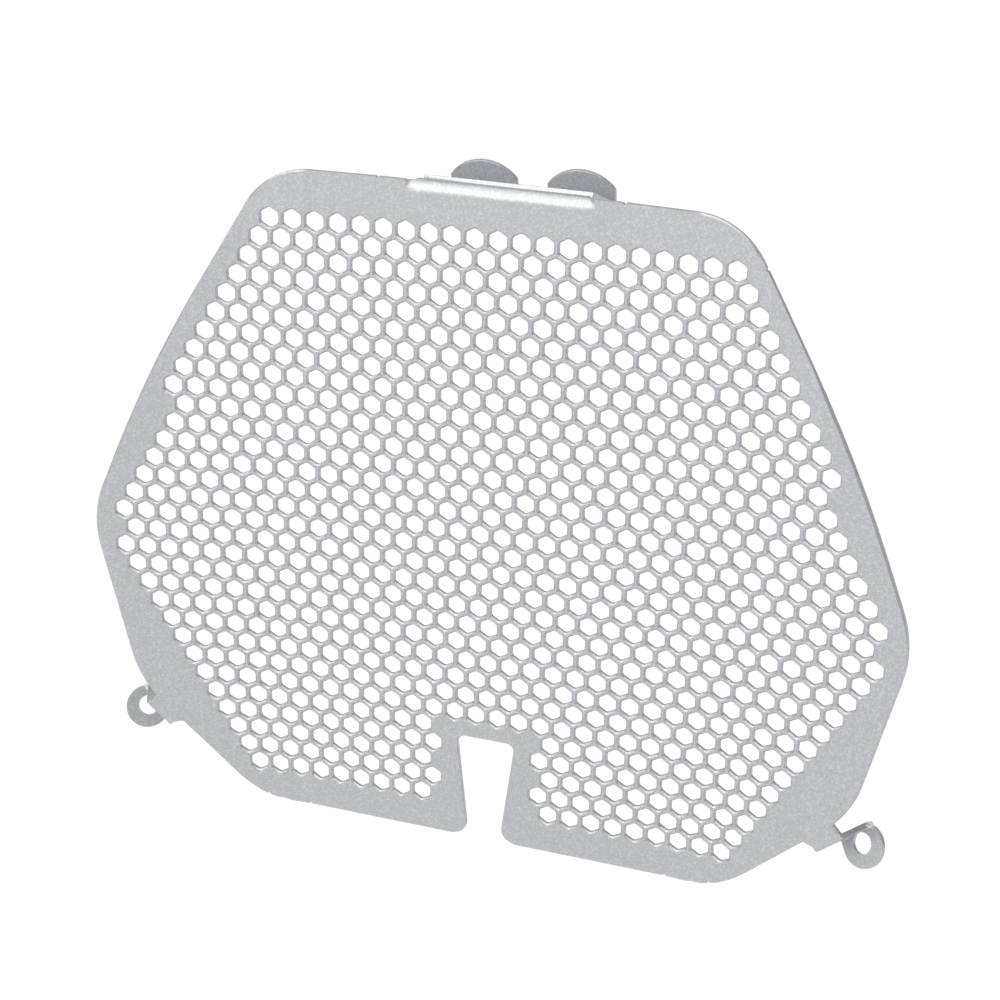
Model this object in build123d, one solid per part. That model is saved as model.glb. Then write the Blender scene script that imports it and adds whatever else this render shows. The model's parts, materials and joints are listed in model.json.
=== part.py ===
from build123d import *
import os
from math import cos, radians, sin, sqrt, tan

# Radiator guard: one perforated sheet with a shallow forward dish, a hook bracket on top and two bolt eyes.
# Millimetres. X runs across, Y back towards the radiator, Z up.
# The origin is the middle of the panel's top edge, halfway through the sheet.
# A "drop" is a distance below that top edge, and a "half" is a distance from the middle plane.

# Sheet and the inside radii of its bends
SHEET = 1.5
TIGHT_BEND = 0.4
BRACKET_BEND = 1.8

# Panel outline: virtual corners and the radii that round them
HEIGHT = 209.8
TOP_HALF = 70.5
TOP_RADIUS = 23.0
SIDE_HALF = 108.8
SIDE_DROP = 64.0
SIDE_RADIUS = 420.0
WIDE_HALF = 130.0
WIDE_DROP = 114.9
WIDE_RADIUS = 35.0
LOWER_HALF = 116.3
LOWER_DROP = 172.2
LOWER_RADIUS = 35.0
BOTTOM_HALF = 76.5
BOTTOM_RADIUS = 26.0

# Dovetail notch in the bottom edge
NOTCH_DEPTH = 35.2
NOTCH_MOUTH_HALF = 5.25
NOTCH_INNER_HALF = 9.5
NOTCH_MOUTH_RADIUS = 4.5
NOTCH_INNER_RADIUS = 2.5

# Fold lines of the dish, given by their ends, with a small nick in the edge at each end
INNER_FOLD_TOP_HALF = 36.75
INNER_FOLD_BOTTOM_HALF = 59.5
INNER_FOLD_ANGLE = 4.0
OUTER_FOLD_TOP_HALF = 78.9
OUTER_FOLD_BOTTOM_HALF = 73.8
OUTER_FOLD_ANGLE = 5.4
NICK_RADIUS = 0.45

# Hexagon grille: staggered rows, clear of the edges
# Below its widest row the field narrows along the pattern's own slant, which leaves the lower corners solid
PITCH = 7.0
HOLE_FLATS = 5.5
FIRST_ROW_DROP = 15.1
EDGE_MARGIN = 7.5
WIDEST_ROW = 18
WIDEST_ROW_STEPS = 17

# Hook bracket: the top edge bends back and slopes down, steps up by one sheet and ends in two upright tabs
BRACKET_HALF = 25.4
BRACKET_BLEND = 3.0
BRACKET_BLEND_STEPS = 6
BRACKET_SLOPE = 20.0
STEP_BACK = 7.0
STEP_LAP = 3.0
TAB_ROOT_BACK = 31.2
TAB_INNER_HALF = 4.7
TAB_LEAN = 13.0
TAB_RISE = 10.4
TAB_CROWN = 5.2

# Bolt eyes: a short tab on the lower diagonal edge bends back into an arm, and the arm bends out into the eye
EYE_TAB_HALF = 110.4
EYE_TAB_DROP = 183.35
EYE_TAB_WIDTH = 10.4
EYE_TAB_ROOT = 5.8
EYE_TAB_SPREAD = 3.3
EYE_ARM_LENGTH = 12.9
EYE_ARM_BEND = 74.6
EYE_ARM_SLANT = 1.8
EYE_PLATE_TILT = 26.4
EYE_REACH = 5.1
EYE_SHIFT = 3.0
EYE_DIAMETER = 13.8
EYE_HOLE = 6.6
EYE_HOLE_INSET = 0.7

BACK = Vector(0, 1, 0)


def turned(angle):
    """Unit direction in a section plane: 0 along its first axis, 90 along its second."""
    return Vector(cos(radians(angle)), sin(radians(angle)))


def bend_setback(inside_radius, angle):
    """Distance from a bend's virtual corner to where its arc begins, at mid-sheet."""
    return (inside_radius + SHEET / 2) * tan(radians(angle / 2))


def plate(plane, outline):
    """Flat sheet with an outline drawn in a plane at mid-sheet."""
    return extrude(plane.offset(-SHEET / 2) * outline, SHEET, dir=plane.z_dir)


def strip(plane, points, inside_radius, width):
    """Bent sheet strip along a filleted path in a plane, centred on that plane."""
    path = FilletPolyline(*points, radius=inside_radius + SHEET / 2)
    return extrude(plane * trace(path, SHEET), width / 2, both=True)


def panel_outline():
    """Flat outline of the panel, as a face: its right half and the mirror image of that."""
    corners = [
        (NOTCH_INNER_HALF, NOTCH_DEPTH - HEIGHT, NOTCH_INNER_RADIUS),
        (NOTCH_MOUTH_HALF, -HEIGHT, NOTCH_MOUTH_RADIUS),
        (BOTTOM_HALF, -HEIGHT, BOTTOM_RADIUS),
        (LOWER_HALF, -LOWER_DROP, LOWER_RADIUS),
        (WIDE_HALF, -WIDE_DROP, WIDE_RADIUS),
        (SIDE_HALF, -SIDE_DROP, SIDE_RADIUS),
        (TOP_HALF, 0, TOP_RADIUS),
    ]
    corners += [(-x, z, radius) for x, z, radius in reversed(corners)]
    points = [(x, z) for x, z, _ in corners]
    radii = [radius for _, _, radius in corners]
    return make_face(FilletPolyline(*points, radius=radii, close=True)).face()


def fold_lines():
    """Outer and inner fold: half-widths of the line's top and bottom end, and the angle."""
    outer = (OUTER_FOLD_TOP_HALF, OUTER_FOLD_BOTTOM_HALF, OUTER_FOLD_ANGLE)
    inner = (INNER_FOLD_TOP_HALF, INNER_FOLD_BOTTOM_HALF, INNER_FOLD_ANGLE)
    return outer, inner


def fold_axis(side, top, bottom):
    """Fold line on one side of the flat sheet, pointing up."""
    low = Vector(side * bottom, 0, -HEIGHT)
    return Axis(low, Vector(side * top, 0, 0) - low)


def nicks(panel):
    """Small round nicks where the fold lines meet the panel's edge."""
    found = []
    for top, bottom, _ in fold_lines():
        for side in (1, -1):
            crossing = panel & Line((side * top, 0), (side * bottom, -HEIGHT))
            found += [Pos(end.X, end.Y) * Circle(NICK_RADIUS) for end in crossing.vertices()]
    return found


def hole_centres(panel):
    """Flat centres of the grille's holes: staggered rows, alike on both sides, clear of the panel's edge."""
    edge = panel.outer_wire()
    row_step = PITCH * sqrt(3) / 2
    centres = []
    for row in range(int((HEIGHT - FIRST_ROW_DROP) / row_step) + 1):
        z = -FIRST_ROW_DROP - row * row_step
        stagger = (row % 2) / 2
        steps = WIDEST_ROW_STEPS - max(0, row - WIDEST_ROW) / 2
        for step in range(int(steps - stagger) + 1):
            x = (step + stagger) * PITCH
            if panel.is_inside(Vector(x, z)) and edge.distance_to(Vertex(x, z, 0)) > EDGE_MARGIN:
                centres += sorted({(x, z), (-x, z)})
    return centres


def eye_frame():
    """Plane across the right-hand eye's tab: X outwards along the sheet, Y back, Z up the diagonal edge."""
    diagonal = Vector(LOWER_HALF - BOTTOM_HALF, 0, HEIGHT - LOWER_DROP).normalized()
    return Plane(origin=(EYE_TAB_HALF, 0, -EYE_TAB_DROP), x_dir=BACK.cross(diagonal), z_dir=diagonal)


def eye_section_plane(corner, direction):
    """Plane of one flat of the eye: X along its section from a virtual corner, Y up the diagonal edge."""
    frame = eye_frame()
    origin = frame.from_local_coords(corner)
    x_dir = frame.from_local_coords(corner + direction) - origin
    return Plane(origin=origin, x_dir=x_dir, z_dir=x_dir.cross(frame.z_dir))


def eye_face():
    """Plane of the right-hand eye's round plate, from the arm's elbow."""
    return eye_section_plane(turned(EYE_ARM_BEND) * EYE_ARM_LENGTH, turned(-EYE_PLATE_TILT))


def eye_root():
    """Flat root of the right-hand eye's tab, up to where its bend begins, spread on its lower side."""
    outwards = eye_frame().x_dir
    flat = Plane(origin=(EYE_TAB_HALF, -EYE_TAB_DROP), x_dir=(outwards.X, outwards.Z))
    half = EYE_TAB_WIDTH / 2
    end = -bend_setback(TIGHT_BEND, EYE_ARM_BEND)
    root = end - EYE_TAB_ROOT
    outline = Polyline((root, -half - EYE_TAB_SPREAD), (end, -half), (end, half), (root, half), close=True)
    return flat * make_face(outline)


def eye_neck():
    """Distance from the elbow's corner, along the round plate, to where the elbow's bend ends."""
    return bend_setback(TIGHT_BEND, EYE_ARM_BEND + EYE_PLATE_TILT)


def eye_top():
    """Height of the round plate's rim, up the diagonal edge, where the elbow's bend ends."""
    return EYE_SHIFT + sqrt((EYE_DIAMETER / 2) ** 2 - (EYE_REACH - eye_neck()) ** 2)


def eye_arm_outline():
    """Arm of the right-hand eye, square on: slanting towards the eye and widening to its rim at the elbow."""
    half = EYE_TAB_WIDTH / 2
    reach = EYE_ARM_LENGTH
    elbow = reach + turned(EYE_ARM_BEND + EYE_PLATE_TILT).X * eye_neck()
    upper = [(-reach, half), (0, half), (reach - eye_neck(), EYE_ARM_SLANT + half), (elbow, eye_top())]
    lower = [(reach, EYE_ARM_SLANT - half), (0, -half), (-reach, -half)]
    return make_face(Polyline(*upper, (reach, eye_top()), *lower, close=True))


def eye_arm():
    """Arm of the right-hand eye with both its bends."""
    elbow = turned(EYE_ARM_BEND) * EYE_ARM_LENGTH
    overlap = eye_neck() + SHEET
    path = [turned(0) * -overlap, Vector(), elbow, elbow + turned(-EYE_PLATE_TILT) * overlap]
    bent = strip(eye_frame(), path, TIGHT_BEND, 2 * eye_top())
    outline = eye_section_plane(Vector(), turned(EYE_ARM_BEND)) * eye_arm_outline()
    return bent & extrude(outline, EYE_ARM_LENGTH, both=True)


def eye():
    """Right-hand bolt eye: the arm, and the round plate with its hole set a little towards the arm."""
    bend_end = eye_neck()
    rim = Pos(EYE_REACH, EYE_SHIFT) * Circle(EYE_DIAMETER / 2)
    neck = Line((bend_end, EYE_ARM_SLANT - EYE_TAB_WIDTH / 2), (bend_end, eye_top()))
    room = 2 * EYE_DIAMETER
    beyond_bend = Pos(bend_end + room / 2, 0) * Rectangle(room, 2 * room)
    disc = make_hull(rim.edges() + [neck]) & beyond_bend
    hole = Pos(EYE_REACH - EYE_HOLE_INSET, EYE_SHIFT) * Circle(EYE_HOLE / 2)
    return eye_arm() + plate(eye_face(), disc) - extrude(eye_face() * hole, SHEET, both=True)


def tab_setback():
    """Distance from the corner at the tabs' root, along the flange, to where their bend begins."""
    return bend_setback(TIGHT_BEND, 90 + BRACKET_SLOPE + TAB_LEAN)


def bracket_tab(root):
    """Right-hand upright tab of the bracket, with its bend and its arched top."""
    width = BRACKET_HALF - TAB_INNER_HALF
    middle = TAB_INNER_HALF + width / 2
    rise = turned(90 + TAB_LEAN)
    overlap = tab_setback() + SHEET
    path = [root - turned(-BRACKET_SLOPE) * overlap, root, root + rise * TAB_RISE]
    bent = strip(Plane.YZ.offset(middle), path, TIGHT_BEND, width)
    upright = Plane(origin=(middle, root.X, root.Y), x_dir=(1, 0, 0), z_dir=(0, -rise.Y, rise.X))
    shoulder = TAB_RISE - TAB_CROWN
    ends = [(-width / 2, shoulder), (width / 2, shoulder)]
    arch = ThreePointArc(ends[0], (0, TAB_RISE), ends[1])
    sides = Polyline(ends[0], (-width / 2, -TAB_RISE), (width / 2, -TAB_RISE), ends[1])
    return bent & extrude(upright * make_face(arch + sides), TAB_RISE, both=True)


def bracket_bend_start():
    """Height at which the bracket's bend leaves the panel, so that its top is level with the panel's edge."""
    return -BRACKET_BEND - SHEET


def bracket_blend():
    """Right-hand blend in which the panel's straight top edge curls back into the bracket's bend."""
    rise = -bracket_bend_start()
    start = Vector(0, -rise)
    sections = [Plane.YZ.offset(BRACKET_HALF + BRACKET_BLEND) * trace(Line(start, (0, 0)), SHEET)]
    for step in range(1, BRACKET_BLEND_STEPS + 1):
        share = step / BRACKET_BLEND_STEPS
        curl = 90 * share
        curled = JernArc(start, (0, 1), rise / sin(radians(curl)) - SHEET / 2, -curl)
        sections.append(Plane.YZ.offset(BRACKET_HALF + BRACKET_BLEND * (1 - share)) * trace(curled, SHEET))
    return loft(sections, ruled=True)


def bracket():
    """Hook bracket: the bend and its blends, the sloping flange, the raised flange and the two tabs."""
    slope = turned(-BRACKET_SLOPE)
    bend_angle = 90 + BRACKET_SLOPE
    bend_start = bracket_bend_start()
    corner = Vector(0, bend_start + bend_setback(BRACKET_BEND, bend_angle))
    per_depth = 1 / slope.X
    lower_end = corner + slope * (STEP_BACK + STEP_LAP) * per_depth
    lower = strip(Plane.YZ, [(0, bend_start - SHEET), corner, lower_end], BRACKET_BEND, 2 * BRACKET_HALF)
    raised = corner + turned(90 - BRACKET_SLOPE) * SHEET
    root = raised + slope * (TAB_ROOT_BACK - raised.X) * per_depth
    front_edge = raised + slope * (STEP_BACK - raised.X) * per_depth
    flange = trace(Line(front_edge, root - slope * tab_setback()), SHEET)
    upper = extrude(Plane.YZ * flange, BRACKET_HALF, both=True)
    sides = bracket_blend() + bracket_tab(root)
    return lower + upper + sides + mirror(sides, Plane.YZ)


def flat_sheet(panel):
    """Sheet before it is folded, with its notch, nicks, bracket and eyes."""
    root = eye_root()
    bracket_gap = Rectangle(2 * (BRACKET_HALF + BRACKET_BLEND), -2 * bracket_bend_start())
    outline = panel + root + mirror(root, Plane.YZ) - nicks(panel) - bracket_gap
    right_eye = eye()
    return plate(Plane.XZ, outline) + bracket() + right_eye + mirror(right_eye, Plane.YZ)


def fold(sheet, top, bottom, angle, side):
    """Fold one side of the sheet forwards about a line, the two parts meeting on the bisecting plane."""
    line = fold_axis(side, top, bottom)
    outwards = BACK.cross(line.direction) * side
    lean = BACK * tan(radians(angle / 2))
    inner = split(sheet, Plane(line.position, z_dir=outwards - lean), keep=Keep.BOTTOM)
    outer = split(sheet, Plane(line.position, z_dir=outwards + lean), keep=Keep.TOP)
    return inner + outer.rotate(line, -side * angle)


def carried(shape, x, z):
    """Shape moved from the flat sheet to where the folds carry the flat point x, z."""
    side = 1 if x > 0 else -1
    for top, bottom, angle in fold_lines():
        if side * x > top + (top - bottom) * z / HEIGHT:
            shape = shape.rotate(fold_axis(side, top, bottom), -side * angle)
    return shape


def hole_punches(panel):
    """Hexagonal prisms, points up, square to the facet that each hole's centre is on."""
    hexagon = RegularPolygon(HOLE_FLATS / 2, 6, major_radius=False, rotation=30)
    punch = extrude(Plane.XZ * hexagon, SHEET, both=True).solid()
    return [carried(punch.moved(Location((x, 0, z))), x, z) for x, z in hole_centres(panel)]


def radiator_guard():
    """The finished guard: folded on both sides, the outer folds first, and then perforated."""
    panel = panel_outline()
    sheet = flat_sheet(panel)
    for line in fold_lines():
        for side in (1, -1):
            sheet = fold(sheet, *line, side)
    return sheet.solid().cut(*hole_punches(panel))


os.makedirs("parts", exist_ok=True)
export_step(radiator_guard(), "parts/radiator_guard.step", write_pcurves=False)
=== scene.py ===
import json
from math import atan2, degrees, radians, tan

import bmesh
import bpy
from bpy.props import FloatProperty, FloatVectorProperty, PointerProperty
from mathutils import Matrix, Vector
from mathutils.geometry import delaunay_2d_cdt

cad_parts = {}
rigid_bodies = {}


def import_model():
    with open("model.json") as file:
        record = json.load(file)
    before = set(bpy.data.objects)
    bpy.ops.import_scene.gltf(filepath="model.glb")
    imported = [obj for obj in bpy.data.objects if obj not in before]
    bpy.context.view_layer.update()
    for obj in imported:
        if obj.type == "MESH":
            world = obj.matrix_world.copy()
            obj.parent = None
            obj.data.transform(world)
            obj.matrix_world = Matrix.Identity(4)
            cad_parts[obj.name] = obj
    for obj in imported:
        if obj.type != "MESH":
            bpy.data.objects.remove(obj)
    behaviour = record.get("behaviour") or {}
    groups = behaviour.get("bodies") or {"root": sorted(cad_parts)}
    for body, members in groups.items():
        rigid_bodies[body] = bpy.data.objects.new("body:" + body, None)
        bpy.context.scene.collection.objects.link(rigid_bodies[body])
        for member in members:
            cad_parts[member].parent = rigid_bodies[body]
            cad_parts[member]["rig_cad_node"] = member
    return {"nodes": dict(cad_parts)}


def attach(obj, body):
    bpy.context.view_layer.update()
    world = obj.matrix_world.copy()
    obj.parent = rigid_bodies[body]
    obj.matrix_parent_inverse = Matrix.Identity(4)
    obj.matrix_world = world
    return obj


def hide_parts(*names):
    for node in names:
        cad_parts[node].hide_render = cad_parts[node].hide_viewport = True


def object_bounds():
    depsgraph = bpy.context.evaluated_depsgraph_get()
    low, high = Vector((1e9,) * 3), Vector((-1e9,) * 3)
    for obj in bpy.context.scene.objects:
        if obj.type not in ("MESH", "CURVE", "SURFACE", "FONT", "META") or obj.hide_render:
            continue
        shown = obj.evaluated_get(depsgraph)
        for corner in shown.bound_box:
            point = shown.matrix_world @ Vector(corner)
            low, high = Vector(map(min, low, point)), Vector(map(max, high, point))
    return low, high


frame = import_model()
CAD_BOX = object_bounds()

bl_info = {
    "name": "Radiator guard",
    "version": (1, 0, 0),
    "blender": (4, 5, 0),
    "location": "View3D > Sidebar > Guard",
    "description": "Finishes the perforated radiator guard and sets its studio",
    "category": "Add Mesh",
}

SHEET_NODE = "radiator_guard"
SHEET_PIECE = "guard_sheet"
BODY = "root"
TRIANGLE_LIMIT = 200000
BACK = Vector((0, 1, 0))

# Tolerances in metres: points on one side of the flat sheet, and points that are the same
LEVEL = 0.00002
SAME_PLACE = 0.0000001

# Way of triangulating that keeps inside the outline
INSIDE = 1

# Marks that new faces carry in place of a material's number while the sheet is made
ROLLED = 1
FLAT = 2

# Most that a wall's normal leans towards the front, and angles in degrees that tell edges apart
WALL_TILT = 0.3
HOLE_CORNER_ANGLES = (50, 70)
CUT_ANGLE = 70
FOLD_ANGLES = (2, 8)
RIM_CORNER_ANGLE = 20

# Faces that lean less than this are one flat, and edges that turn less are shaded smooth
FLAT_ANGLE = radians(0.5)
SMOOTH_ANGLE = radians(60.0)

# Sides of a hole, and the most wall faces that one hole has
HOLE_SIDES = 6
HOLE_FACES = 40

# Grain of the coat, and the point on the flakes' random scale from which painted glint lightens
# their colour
PAINTED_GLINT_START = 0.45
SKIN_SCALE = 900.0
SKIN_DETAIL = 3.0
SATIN_SPREAD = 0.08
RELIEF_STRENGTH = 0.06
RELIEF_DEPTH = 0.0001

# Studio
FLOOR_ROUGHNESS = 0.9
WHITE = (1.0, 1.0, 1.0, 1.0)
SENSOR_WIDTH = 36.0
NEAREST_SEEN = 0.01


class GuardShape(bpy.types.PropertyGroup):
    """Sizes of the sheet's rounded edges."""

    merge_gap: FloatProperty(
        name="Merge gap", description="Points closer than this are one point",
        default=0.000005, min=0.0, precision=6, unit="LENGTH")
    half_sheet: FloatProperty(
        name="Half the sheet", description="Distance from the sheet's middle to its front and back",
        default=0.00075, min=0.0, precision=6, unit="LENGTH")
    edge_round: FloatProperty(
        name="Edge rounding",
        description="Width of the roll along every punched or cut edge of the front",
        default=0.00045, min=0.0, precision=6, unit="LENGTH")
    back_round: FloatProperty(
        name="Back edge rounding",
        description="Width of the roll along the edges of the back, where the punch left",
        default=0.00010, min=0.0, precision=6, unit="LENGTH")
    corner_round: FloatProperty(
        name="Corner rounding", description="Width of the rounding up the corners of the holes",
        default=0.00040, min=0.0, precision=6, unit="LENGTH")
    fine_edge: FloatProperty(
        name="Fine edge", description="Edges shorter than this stay as they are",
        default=0.00010, min=0.0, precision=6, unit="LENGTH")
    bracket_round: FloatProperty(
        name="Bracket rounding", description="Width of the rounding along the bracket's edges",
        default=0.00015, min=0.0, precision=6, unit="LENGTH")
    nick_half: FloatProperty(
        name="Half a nick", description="Distance from a fold line within which its nick lies",
        default=0.0010, min=0.0, precision=5, unit="LENGTH")
    blend_start: FloatProperty(
        name="Blend start",
        description="Distance from the middle at which the bracket starts to run into the edge",
        default=0.0245, min=0.0, precision=5, unit="LENGTH")
    blend_end: FloatProperty(
        name="Blend end", description="Distance from the middle at which the edge is plain again",
        default=0.0290, min=0.0, precision=5, unit="LENGTH")
    blend_drop: FloatProperty(
        name="Blend drop", description="Depth below the top edge that the blend reaches",
        default=0.0040, min=0.0, precision=5, unit="LENGTH")
    eye_start: FloatProperty(
        name="Eye start",
        description="Distance from the middle beyond which what stands back is an eye",
        default=0.1000, min=0.0, precision=5, unit="LENGTH")
    eye_back: FloatProperty(
        name="Eye back",
        description="Distance behind the sheet's middle at which the bracket and the eyes start",
        default=0.0009, min=0.0, precision=5, unit="LENGTH")


class GuardFolds(bpy.types.PropertyGroup):
    """Fold lines of the dish: their distances from the middle, and their angles."""

    height: FloatProperty(
        name="Height", description="Height that the fold lines run over",
        default=0.2098, min=0.01, precision=5, unit="LENGTH")
    inner_top: FloatProperty(
        name="Inner fold at the top",
        description="Inner fold's distance from the middle at the top edge",
        default=0.03675, min=0.0, precision=5, unit="LENGTH")
    inner_bottom: FloatProperty(
        name="Inner fold at the bottom",
        description="Inner fold's distance from the middle at the bottom edge",
        default=0.0595, min=0.0, precision=5, unit="LENGTH")
    inner_angle: FloatProperty(
        name="Inner fold angle", description="Angle of each inner fold",
        default=radians(4.0), subtype="ANGLE")
    outer_top: FloatProperty(
        name="Outer fold at the top",
        description="Outer fold's distance from the middle at the top edge",
        default=0.0789, min=0.0, precision=5, unit="LENGTH")
    outer_bottom: FloatProperty(
        name="Outer fold at the bottom",
        description="Outer fold's distance from the middle at the bottom edge",
        default=0.0738, min=0.0, precision=5, unit="LENGTH")
    outer_angle: FloatProperty(
        name="Outer fold angle", description="Angle of each outer fold",
        default=radians(5.4), subtype="ANGLE")
    grip: FloatProperty(
        name="Grip", description="Points closer to a fold line than this stay on it",
        default=0.00008, min=0.0, precision=6, unit="LENGTH")
    crease_width: FloatProperty(
        name="Crease width",
        description="Width of the crease that a fold leaves in the walls of the holes",
        default=0.0001, min=0.0, precision=6, unit="LENGTH")


class GuardFinish(bpy.types.PropertyGroup):
    """Colours and grain of the satin silver coat, whose metal flakes carry painted glint in their
    colour.
    """

    silver: FloatVectorProperty(
        name="Silver", description="Colour of the coat between its flakes",
        default=(0.425, 0.434, 0.452, 1.0), size=4, min=0.0, max=1.0, subtype="COLOR")
    # The flakes' lighter colour is painted glint: it stands for flakes that catch the light, not a
    # colour the coat has under any lamp.
    flake_painted_glint: FloatVectorProperty(
        name="Bright flake", description="Colour of the flakes that face the light",
        default=(0.570, 0.579, 0.597, 1.0), size=4, min=0.0, max=1.0, subtype="COLOR")
    flake_size: FloatProperty(
        name="Flake size", description="Distance from one metal flake to the next",
        default=0.00045, min=0.0001, precision=6, unit="LENGTH")
    metallic: FloatProperty(
        name="Metallic", description="Share of the coat's gloss that is tinted as metal is",
        default=0.85, min=0.0, max=1.0, subtype="FACTOR")
    roughness: FloatProperty(
        name="Roughness", description="Roughness of the satin coat",
        default=0.42, min=0.0, max=1.0, subtype="FACTOR")


class GuardStage(bpy.types.PropertyGroup):
    """Floor, light and camera of the studio."""

    floor_size: FloatProperty(
        name="Floor size", description="Length of the floor's sides",
        default=80.0, min=1.0, unit="LENGTH")
    floor_gap: FloatProperty(
        name="Floor gap", description="Height at which the guard hangs above the floor",
        default=0.8, min=0.0, unit="LENGTH")
    floor_colour: FloatVectorProperty(
        name="Floor", description="Colour of the floor",
        default=(0.93, 0.93, 0.93, 1.0), size=4, min=0.0, max=1.0, subtype="COLOR")
    sky: FloatProperty(
        name="Surrounding light", description="Strength of the even light from all round",
        default=0.35, min=0.0)
    key_strength: FloatProperty(
        name="Key light", description="Strength of the broad light above the front",
        default=2.4, min=0.0)
    key_from: FloatVectorProperty(
        name="Key from", description="Direction that the key light comes from",
        default=(-0.22, -0.45, 0.865), size=3, subtype="DIRECTION")
    key_spread: FloatProperty(
        name="Key spread", description="Angle that the key light fills",
        default=radians(100.0), subtype="ANGLE")
    side_strength: FloatProperty(
        name="Side light", description="Strength of the soft light from the left",
        default=0.5, min=0.0)
    side_from: FloatVectorProperty(
        name="Side from", description="Direction that the side light comes from",
        default=(-0.45, -0.88, 0.15), size=3, subtype="DIRECTION")
    side_spread: FloatProperty(
        name="Side spread", description="Angle that the side light fills",
        default=radians(40.0), subtype="ANGLE")
    back_strength: FloatProperty(
        name="Back light", description="Strength of the soft light from behind",
        default=0.5, min=0.0)
    back_from: FloatVectorProperty(
        name="Back from", description="Direction that the back light comes from",
        default=(-0.10, 0.85, 0.50), size=3, subtype="DIRECTION")
    back_spread: FloatProperty(
        name="Back spread", description="Angle that the back light fills",
        default=radians(100.0), subtype="ANGLE")
    top_strength: FloatProperty(
        name="Top light", description="Strength of the near light above the top edge",
        default=1.6, min=0.0)
    top_place: FloatVectorProperty(
        name="Top light place", description="Where the near light stands",
        default=(-0.20, -0.45, 0.45), size=3, subtype="TRANSLATION", unit="LENGTH")
    top_size: FloatProperty(
        name="Top light size", description="Length of the near light's sides",
        default=0.8, min=0.01, unit="LENGTH")
    camera_place: FloatVectorProperty(
        name="Camera place", description="Where the camera stands",
        default=(0.1907, -0.5548, 0.1449), size=3, subtype="TRANSLATION", unit="LENGTH")
    camera_view: FloatVectorProperty(
        name="Camera view", description="Direction that the camera looks in",
        default=(-0.2975, 0.8770, -0.3773), size=3, subtype="DIRECTION")
    camera_right: FloatVectorProperty(
        name="Camera right", description="Direction of the picture's right-hand side",
        default=(0.9436, 0.3303, 0.0239), size=3, subtype="DIRECTION")
    lens: FloatProperty(
        name="Lens", description="Focal length in millimetres on a 36 mm sensor",
        default=76.8, min=1.0)


def deselect_all():
    """Nothing selected, in object mode."""
    bpy.ops.object.select_all(action="DESELECT")


def copy_of_node(node_name, piece_name):
    """A CAD node's mesh as a new piece, selected and active."""
    deselect_all()
    node = frame["nodes"][node_name]
    node.select_set(True)
    bpy.context.view_layer.objects.active = node
    bpy.ops.object.duplicate()
    piece = bpy.context.view_layer.objects.active
    piece.name = piece_name
    piece.data.name = piece_name
    del piece["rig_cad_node"]
    return piece


def merge_triangles(gap):
    """Loose triangles joined into one closed skin."""
    bpy.ops.mesh.select_all(action="SELECT")
    bpy.ops.mesh.customdata_custom_splitnormals_clear()
    bpy.ops.mesh.remove_doubles(threshold=gap)


def select_edges(piece, wanted):
    """Selects the edges between two faces that a test picks out."""
    bpy.ops.mesh.select_all(action="DESELECT")
    mesh = bmesh.from_edit_mesh(piece.data)
    for edge in mesh.edges:
        if len(edge.link_faces) == 2 and wanted(edge):
            edge.select_set(True)
    bmesh.update_edit_mesh(piece.data)


def round_edges(piece, wanted, width):
    """Takes the corner off the edges that a test picks out."""
    select_edges(piece, wanted)
    bpy.ops.mesh.bevel(offset=width, segments=1, clamp_overlap=False, loop_slide=False)


def turn_at(edge):
    """Angle in degrees between the two faces at an edge."""
    return degrees(edge.calc_face_angle(0))


def is_wall(face):
    """True for a face that stands square to the sheet's front."""
    return abs(face.normal.y) < WALL_TILT


def is_upright(edge):
    """True for an edge between two walls, through the sheet's thickness."""
    return all(is_wall(f) for f in edge.link_faces)


def is_clear(edge, room):
    """True where every edge that meets this one is longer than the room it needs."""
    return all(e.calc_length() > room for v in edge.verts for e in v.link_edges if e is not edge)


def is_hole_corner(edge):
    """True for the short edge up a corner of a hole."""
    least, most = HOLE_CORNER_ANGLES
    return least < turn_at(edge) < most and is_upright(edge) and not edge.is_convex


def is_cut_edge(edge, fine):
    """True for an outside edge between the sheet's face and a cut."""
    if edge.calc_length() < fine or not edge.is_convex or turn_at(edge) < CUT_ANGLE:
        return False
    return not is_upright(edge) or is_clear(edge, fine)


def is_fold(edge):
    """True for a shallow fold across the sheet's front or back."""
    least, most = FOLD_ANGLES
    return least < turn_at(edge) < most and not any(is_wall(f) for f in edge.link_faces)


def is_rim(edge):
    """True for an edge along one side of a rolled edge."""
    return sum(f.material_index == ROLLED for f in edge.link_faces) == 1


def is_formed(edge, shape):
    """True for an edge of the bracket's blends or of what stands behind the panel."""
    middle = (edge.verts[0].co + edge.verts[1].co) / 2
    if max(v.co.y for v in edge.verts) > shape.eye_back:
        return True
    return shape.blend_start < abs(middle.x) < shape.blend_end and middle.z > -shape.blend_drop


def is_bracket(edge, shape):
    """True for an edge of the bracket that stands behind the panel's top edge."""
    return all(v.co.y > shape.eye_back and abs(v.co.x) < shape.eye_start for v in edge.verts)


def is_level(vert, height):
    """True for a point of the flat sheet's front or back."""
    return abs(vert.co.y - height) < LEVEL


def fold_lines(folds):
    """The four folds, inner ones first: a point on each, its direction, the way out, its turn."""
    inner = (folds.inner_top, folds.inner_bottom, folds.inner_angle)
    outer = (folds.outer_top, folds.outer_bottom, folds.outer_angle)
    lines = []
    for top, bottom, angle in (inner, outer):
        for side in (1, -1):
            low = Vector((side * bottom, 0, -folds.height))
            along = (Vector((side * top, 0, 0)) - low).normalized()
            lines.append((low, along, BACK.cross(along) * side, -side * angle))
    return lines


def is_near_fold(vert, folds, width):
    """True for a point that lies on a fold line of the flat sheet."""
    return any(abs((vert.co - low).dot(outwards)) < width
               for low, _, outwards, _ in fold_lines(folds))


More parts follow.
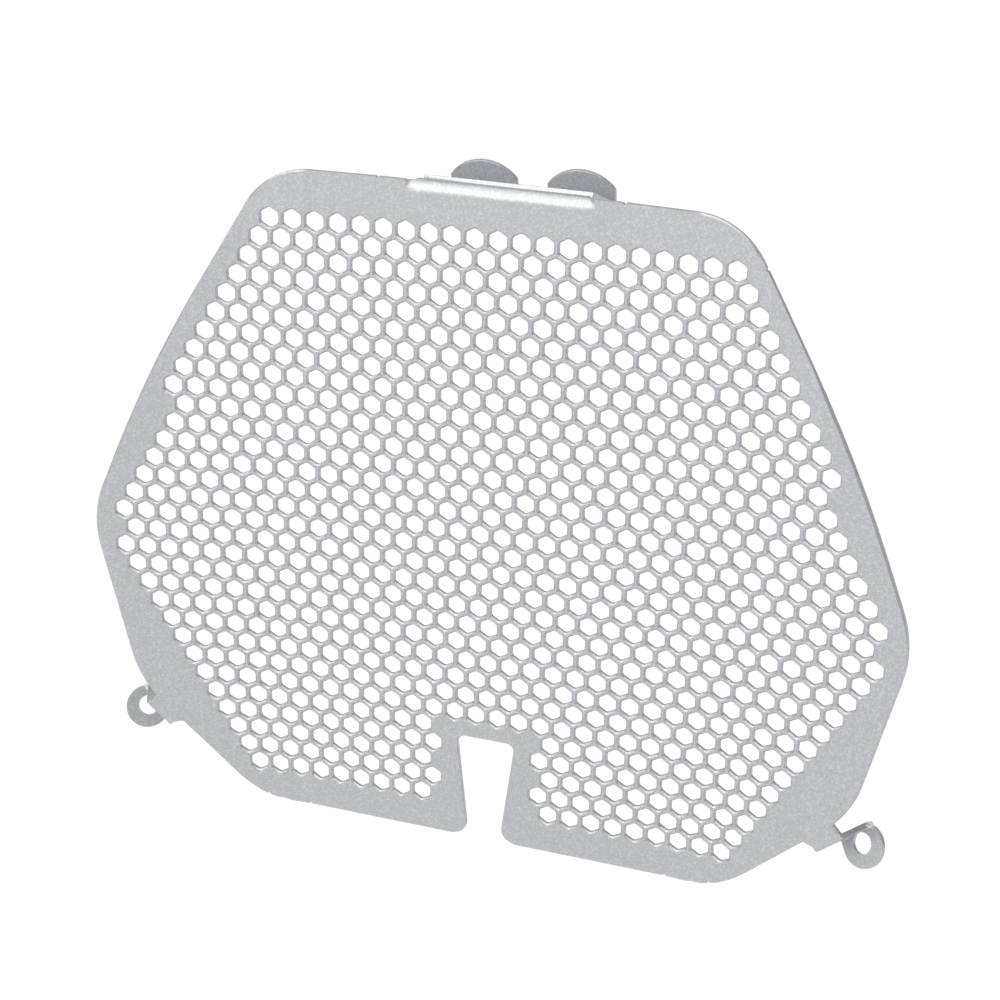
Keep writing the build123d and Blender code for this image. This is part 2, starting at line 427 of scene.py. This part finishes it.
def turn_beyond(piece, low, along, outwards, turn, grip):
    """Turns all that lies beyond a fold line about that line."""
    mesh = bmesh.from_edit_mesh(piece.data)
    beyond = [v for v in mesh.verts if (v.co - low).dot(outwards) > grip]
    bmesh.ops.rotate(mesh, cent=low, matrix=Matrix.Rotation(turn, 3, along), verts=beyond)
    bmesh.update_edit_mesh(piece.data)


def flatten(piece, folds):
    """The sheet unfolded, and its flat faces made whole."""
    for low, along, outwards, turn in fold_lines(folds):
        crease = outwards - BACK * tan(abs(turn) / 2)
        turn_beyond(piece, low, along, crease, -turn, folds.grip)
    bpy.ops.mesh.select_all(action="SELECT")
    bpy.ops.mesh.dissolve_limited(angle_limit=FLAT_ANGLE)


def fold_up(piece, folds):
    """The flat sheet divided along its fold lines and folded again, the outer folds first."""
    for low, along, outwards, turn in reversed(fold_lines(folds)):
        bpy.ops.mesh.select_all(action="SELECT")
        bpy.ops.mesh.bisect(plane_co=low, plane_no=outwards, threshold=folds.grip)
        turn_beyond(piece, low, along, outwards, turn, folds.grip)


def wall_rings(mesh):
    """The walls in groups that hang together: one for each hole and one for the outline."""
    left = dict.fromkeys(f for f in mesh.faces if is_wall(f))
    rings = []
    while left:
        ring, waiting = [], [left.popitem()[0]]
        while waiting:
            face = waiting.pop()
            ring.append(face)
            for beside in (f for e in face.edges for f in e.link_faces):
                if beside in left:
                    del left[beside]
                    waiting.append(beside)
        rings.append(ring)
    return rings


def rim_corners(points):
    """Places of a hole's corners on one side of the sheet, without the points between them."""
    middle = sum((v.co for v in points), Vector()) / len(points)
    points = sorted(points, key=lambda v: atan2(v.co.z - middle.z, v.co.x - middle.x))
    corners = []
    for before, point, after in zip(points[-1:] + points[:-1], points, points[1:] + points[:1]):
        if degrees((point.co - before.co).angle(after.co - point.co, 0)) > RIM_CORNER_ANGLE:
            corners.append(point.co.copy())
    return corners


def open_sides(mesh, half):
    """The flat front and back taken out, so that the walls stand alone."""
    flats = [f for f in mesh.faces for y in (-half, half) if all(is_level(v, y) for v in f.verts)]
    bmesh.ops.delete(mesh, geom=flats, context="FACES")


def renew_creased_holes(mesh, folds, half):
    """The walls of every hole on a fold line made afresh, flat from corner to corner."""
    for ring in wall_rings(mesh):
        points = dict.fromkeys(v for f in ring for v in f.verts)
        creased = any(is_near_fold(v, folds, folds.crease_width) for v in points)
        if len(ring) > HOLE_FACES or not creased:
            continue
        front, back = (rim_corners([v for v in points if is_level(v, y)]) for y in (-half, half))
        if len(front) != HOLE_SIDES or len(back) != HOLE_SIDES:
            raise RuntimeError("a hole on a fold line has lost its corners")
        middle = sum(front + back, Vector()) / (2 * HOLE_SIDES)
        bmesh.ops.delete(mesh, geom=ring, context="FACES")
        front, back = ([mesh.verts.new(place) for place in rim] for rim in (front, back))
        for here in range(HOLE_SIDES):
            there = (here + 1) % HOLE_SIDES
            wall = mesh.faces.new((front[here], front[there], back[there], back[here]))
            wall.normal_update()
            if wall.normal.dot(middle - wall.calc_center_median()) < 0:
                wall.normal_flip()


def loop_names(pairs):
    """For each point of closed edge loops, one point that stands for the loop it is on."""
    beside = {}
    for one, other in pairs:
        beside.setdefault(one, []).append(other)
        beside.setdefault(other, []).append(one)
    names = {}
    for start in beside:
        waiting = [start] if start not in names else []
        while waiting:
            vert = waiting.pop()
            names[vert] = start
            waiting.extend(v for v in beside[vert] if v not in names)
    return names


def outline_name(names):
    """The point that stands for the loop that goes all round the sheet."""
    return names[max(names, key=lambda v: v.co.x)]


def punched_rims(rims, shape, folds):
    """The rims that a punch or cutter left, without the nicks and what is formed by bending."""
    names = loop_names([e.verts for e in rims])
    outline = outline_name(names)
    nicks = {v for v in names
             if names[v] is outline and is_near_fold(v, folds, shape.nick_half)}
    return {e for e in rims
            if is_wall(e.link_faces[0]) and not is_formed(e, shape) and nicks.isdisjoint(e.verts)}


def rolled_rims(mesh, height, shape, folds):
    """Rolls one side's punched edges over: the new faces, and the edge loops left open."""
    side, width = (1, shape.back_round) if height > 0 else (-1, shape.edge_round)
    rims = [e for e in mesh.edges if e.is_boundary and all(is_level(v, height) for v in e.verts)]
    punched = punched_rims(rims, shape, folds)
    meeting = {}
    for edge in rims:
        for vert in edge.verts:
            meeting.setdefault(vert, []).append(edge)
    rolled = {}
    for vert, edges in meeting.items():
        rolled[vert] = vert
        if punched.issuperset(edges):
            one, other = (-e.link_faces[0].normal for e in edges)
            step = (one + other) / (1 + one.dot(other)) * width
            rolled[vert] = mesh.verts.new((vert.co.x + step.x, height, vert.co.z + step.z))
    faces, loops = [], []
    for edge in rims:
        one, other = edge.verts
        corners = dict.fromkeys((one, other, rolled[other], rolled[one]))
        if len(corners) > 2:
            faces.append(mesh.faces.new(corners))
        loops.append((rolled[one], rolled[other]))
    for vert, new in rolled.items():
        if new is not vert:
            vert.co.y -= side * width
    return faces, loops


def filled(mesh, loops, height):
    """Fills the flat area between the outline and the holes, and returns the new faces."""
    names = loop_names(loops)
    outline = outline_name(names)
    verts = list(names)
    number = {v: n for n, v in enumerate(verts)}
    places = [Vector((v.co.x, v.co.z)) for v in verts]
    pairs = [(number[a], number[b]) for a, b in loops]
    places, _, triangles, origins, _, _ = delaunay_2d_cdt(places, pairs, [], INSIDE, SAME_PLACE)
    at = [verts[origin[0]] if origin else mesh.verts.new((place.x, height, place.y))
          for place, origin in zip(places, origins)]
    faces = []
    for triangle in triangles:
        corners = [at[n] for n in triangle]
        on = {names.get(v) for v in corners}
        if len(on) > 1 or on == {outline}:
            faces.append(mesh.faces.new(corners))
    return faces


def finish_side(mesh, height, shape, folds):
    """Rolls one side's punched edges and lays its flat face between them, each with its mark."""
    rolled, loops = rolled_rims(mesh, height, shape, folds)
    for face in rolled:
        face.material_index = ROLLED
    for face in filled(mesh, loops, height):
        face.material_index = FLAT


def open_sheet(piece, shape, folds):
    """Leaves only the walls of the flat sheet, with fresh ones for the holes on fold lines."""
    mesh = bmesh.from_edit_mesh(piece.data)
    open_sides(mesh, shape.half_sheet)
    renew_creased_holes(mesh, folds, shape.half_sheet)
    bmesh.update_edit_mesh(piece.data)


def close_sheet(piece, shape, folds):
    """Gives the walls their rolled edges, and a flat front and back between them."""
    mesh = bmesh.from_edit_mesh(piece.data)
    for height in (-shape.half_sheet, shape.half_sheet):
        finish_side(mesh, height, shape, folds)
    bmesh.update_edit_mesh(piece.data)


def set_strength(piece, mark, strength):
    """Sets how much the faces with a mark count in the shading of the points they share."""
    bpy.ops.mesh.select_all(action="DESELECT")
    mesh = bmesh.from_edit_mesh(piece.data)
    for face in mesh.faces:
        face.select_set(face.material_index == mark)
    bmesh.update_edit_mesh(piece.data)
    bpy.ops.mesh.mod_weighted_strength(set=True, face_strength=strength)


def weigh_faces(piece):
    """Lets the rolled and the flat faces settle the shading, and turns every face outwards."""
    bpy.ops.mesh.select_mode(type="FACE")
    for mark in (ROLLED, FLAT):
        set_strength(piece, mark, "STRONG")
    bpy.ops.mesh.select_mode(type="EDGE")
    bpy.ops.mesh.select_all(action="SELECT")
    bpy.ops.mesh.normals_make_consistent(inside=False)


def shade(piece):
    """Shades the flats flat and the corners round, with breaks at the folds and the rims."""
    select_edges(piece, lambda e: is_fold(e) or is_rim(e))
    bpy.ops.mesh.mark_sharp()
    bpy.ops.object.mode_set(mode="OBJECT")
    bpy.ops.object.shade_smooth_by_angle(angle=SMOOTH_ANGLE)
    normals = piece.modifiers.new("even_faces", "WEIGHTED_NORMAL")
    normals.keep_sharp = True
    normals.use_face_influence = True
    bpy.ops.object.modifier_apply(modifier=normals.name)


def triangle_count(piece):
    """Triangles that a piece's faces make."""
    return sum(len(p.vertices) - 2 for p in piece.data.polygons)


def new_material(name):
    """An empty node material with its shader, as (material, nodes, links, shader)."""
    material = bpy.data.materials.new(name)
    material.use_nodes = True
    nodes = material.node_tree.nodes
    return material, nodes, material.node_tree.links, nodes["Principled BSDF"]


def satin_silver(finish):
    """Silver coat with metal flakes whose lighter colour is painted glint, and a fine pebbled skin
    of uneven gloss.
    """
    material, nodes, links, shader = new_material("satin_silver")
    place = nodes.new("ShaderNodeTexCoord")
    flakes = nodes.new("ShaderNodeTexVoronoi")
    flakes.inputs["Scale"].default_value = 1 / finish.flake_size
    links.new(place.outputs["Object"], flakes.inputs["Vector"])
    # Ramp from the coat's silver to the flakes' painted glint colour, by each flake's random value
    glint = nodes.new("ShaderNodeValToRGB")
    dull, bright = glint.color_ramp.elements
    dull.position, dull.color = PAINTED_GLINT_START, finish.silver
    bright.position, bright.color = 1.0, finish.flake_painted_glint
    links.new(flakes.outputs["Color"], glint.inputs["Fac"])
    links.new(glint.outputs["Color"], shader.inputs["Base Color"])
    skin = nodes.new("ShaderNodeTexNoise")
    skin.inputs["Scale"].default_value = SKIN_SCALE
    skin.inputs["Detail"].default_value = SKIN_DETAIL
    links.new(place.outputs["Object"], skin.inputs["Vector"])
    satin = nodes.new("ShaderNodeMapRange")
    satin.inputs["To Min"].default_value = finish.roughness - SATIN_SPREAD
    satin.inputs["To Max"].default_value = finish.roughness + SATIN_SPREAD
    links.new(skin.outputs["Fac"], satin.inputs["Value"])
    links.new(satin.outputs["Result"], shader.inputs["Roughness"])
    relief = nodes.new("ShaderNodeBump")
    relief.inputs["Strength"].default_value = RELIEF_STRENGTH
    relief.inputs["Distance"].default_value = RELIEF_DEPTH
    links.new(skin.outputs["Fac"], relief.inputs["Height"])
    links.new(relief.outputs["Normal"], shader.inputs["Normal"])
    shader.inputs["Metallic"].default_value = finish.metallic
    return material


class GUARD_OT_sheet(bpy.types.Operator):
    """Make the perforated sheet with its rounded edges and its satin silver coat"""

    bl_idname = "guard.sheet"
    bl_label = "Guard sheet"

    def execute(self, context):
        shape, folds = context.scene.guard_shape, context.scene.guard_folds
        piece = copy_of_node(SHEET_NODE, SHEET_PIECE)
        bpy.ops.object.mode_set(mode="EDIT")
        bpy.ops.mesh.select_mode(type="EDGE")
        merge_triangles(shape.merge_gap)
        flatten(piece, folds)
        round_edges(piece, lambda e: is_bracket(e, shape) and is_cut_edge(e, shape.fine_edge),
                    shape.bracket_round)
        open_sheet(piece, shape, folds)
        round_edges(piece, is_hole_corner, shape.corner_round)
        close_sheet(piece, shape, folds)
        weigh_faces(piece)
        fold_up(piece, folds)
        shade(piece)
        if triangle_count(piece) > TRIANGLE_LIMIT:
            raise RuntimeError("the sheet has too many triangles")
        piece.data.polygons.foreach_set("material_index", [0] * len(piece.data.polygons))
        piece.data.materials.clear()
        piece.data.materials.append(satin_silver(context.scene.guard_finish))
        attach(piece, BODY)
        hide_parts(SHEET_NODE)
        return {"FINISHED"}


def make_floor(stage):
    """Plain pale floor below the hanging guard."""
    deselect_all()
    height = CAD_BOX[0].z - stage.floor_gap
    bpy.ops.mesh.primitive_plane_add(size=stage.floor_size, location=(0, 0, height))
    bpy.ops.object.transform_apply(location=True, rotation=True, scale=True)
    floor = bpy.context.view_layer.objects.active
    floor.name = "floor"
    material, _, _, shader = new_material("pale_floor")
    shader.inputs["Base Color"].default_value = stage.floor_colour
    shader.inputs["Roughness"].default_value = FLOOR_ROUGHNESS
    floor.data.materials.append(material)


def add_light(name, kind, strength, place):
    """One light at a place, turned towards the guard."""
    turn = Vector(place).to_track_quat("Z", "Y").to_euler()
    bpy.ops.object.light_add(type=kind, location=place, rotation=turn)
    light = bpy.context.view_layer.objects.active
    light.name = name
    light.data.energy = strength
    return light.data


def make_lights(stage):
    """A near panel above the top edge, far soft lights from three sides and an even light."""
    near = add_light("top_light", "AREA", stage.top_strength, stage.top_place)
    near.shape = "SQUARE"
    near.size = stage.top_size
    for name, strength, comes_from, spread in (
            ("key_light", stage.key_strength, stage.key_from, stage.key_spread),
            ("side_light", stage.side_strength, stage.side_from, stage.side_spread),
            ("back_light", stage.back_strength, stage.back_from, stage.back_spread)):
        add_light(name, "SUN", strength, comes_from).angle = spread
    world = bpy.data.worlds.new("studio")
    world.use_nodes = True
    sky = world.node_tree.nodes["Background"]
    sky.inputs["Color"].default_value = WHITE
    sky.inputs["Strength"].default_value = stage.sky
    bpy.context.scene.world = world


def make_camera(stage):
    """Camera at the photograph's view."""
    right = Vector(stage.camera_right).normalized()
    back = -Vector(stage.camera_view).normalized()
    turn = Matrix((right, back.cross(right), back)).transposed()
    bpy.ops.object.camera_add(location=stage.camera_place, rotation=turn.to_euler())
    camera = bpy.context.view_layer.objects.active
    camera.name = "photo_camera"
    camera.data.lens = stage.lens
    camera.data.sensor_width = SENSOR_WIDTH
    camera.data.clip_start = NEAREST_SEEN
    camera.data.dof.use_dof = False
    bpy.context.scene.camera = camera


class GUARD_OT_stage(bpy.types.Operator):
    """Lay the floor, hang the lights and set up the camera"""

    bl_idname = "guard.stage"
    bl_label = "Studio"

    def execute(self, context):
        stage = context.scene.guard_stage
        make_floor(stage)
        make_lights(stage)
        make_camera(stage)
        context.scene.view_settings.view_transform = "Standard"
        return {"FINISHED"}


class GUARD_PT_panel(bpy.types.Panel):
    """Sizes, finish and studio of the guard"""

    bl_idname = "GUARD_PT_panel"
    bl_label = "Radiator guard"
    bl_space_type = "VIEW_3D"
    bl_region_type = "UI"
    bl_category = "Guard"

    def draw(self, context):
        for name in GROUPS:
            group = getattr(context.scene, name)
            for field in group.__annotations__:
                self.layout.prop(group, field)
        self.layout.operator("guard.sheet")
        self.layout.operator("guard.stage")


GROUPS = {
    "guard_shape": GuardShape,
    "guard_folds": GuardFolds,
    "guard_finish": GuardFinish,
    "guard_stage": GuardStage,
}
CLASSES = (*GROUPS.values(), GUARD_OT_sheet, GUARD_OT_stage, GUARD_PT_panel)


def register():
    for each in CLASSES:
        bpy.utils.register_class(each)
    for name, group in GROUPS.items():
        setattr(bpy.types.Scene, name, PointerProperty(type=group))


def unregister():
    for name in GROUPS:
        delattr(bpy.types.Scene, name)
    for each in reversed(CLASSES):
        bpy.utils.unregister_class(each)


def main():
    register()
    bpy.ops.guard.sheet()
    bpy.ops.guard.stage()


if __name__ == "__main__":
    main()
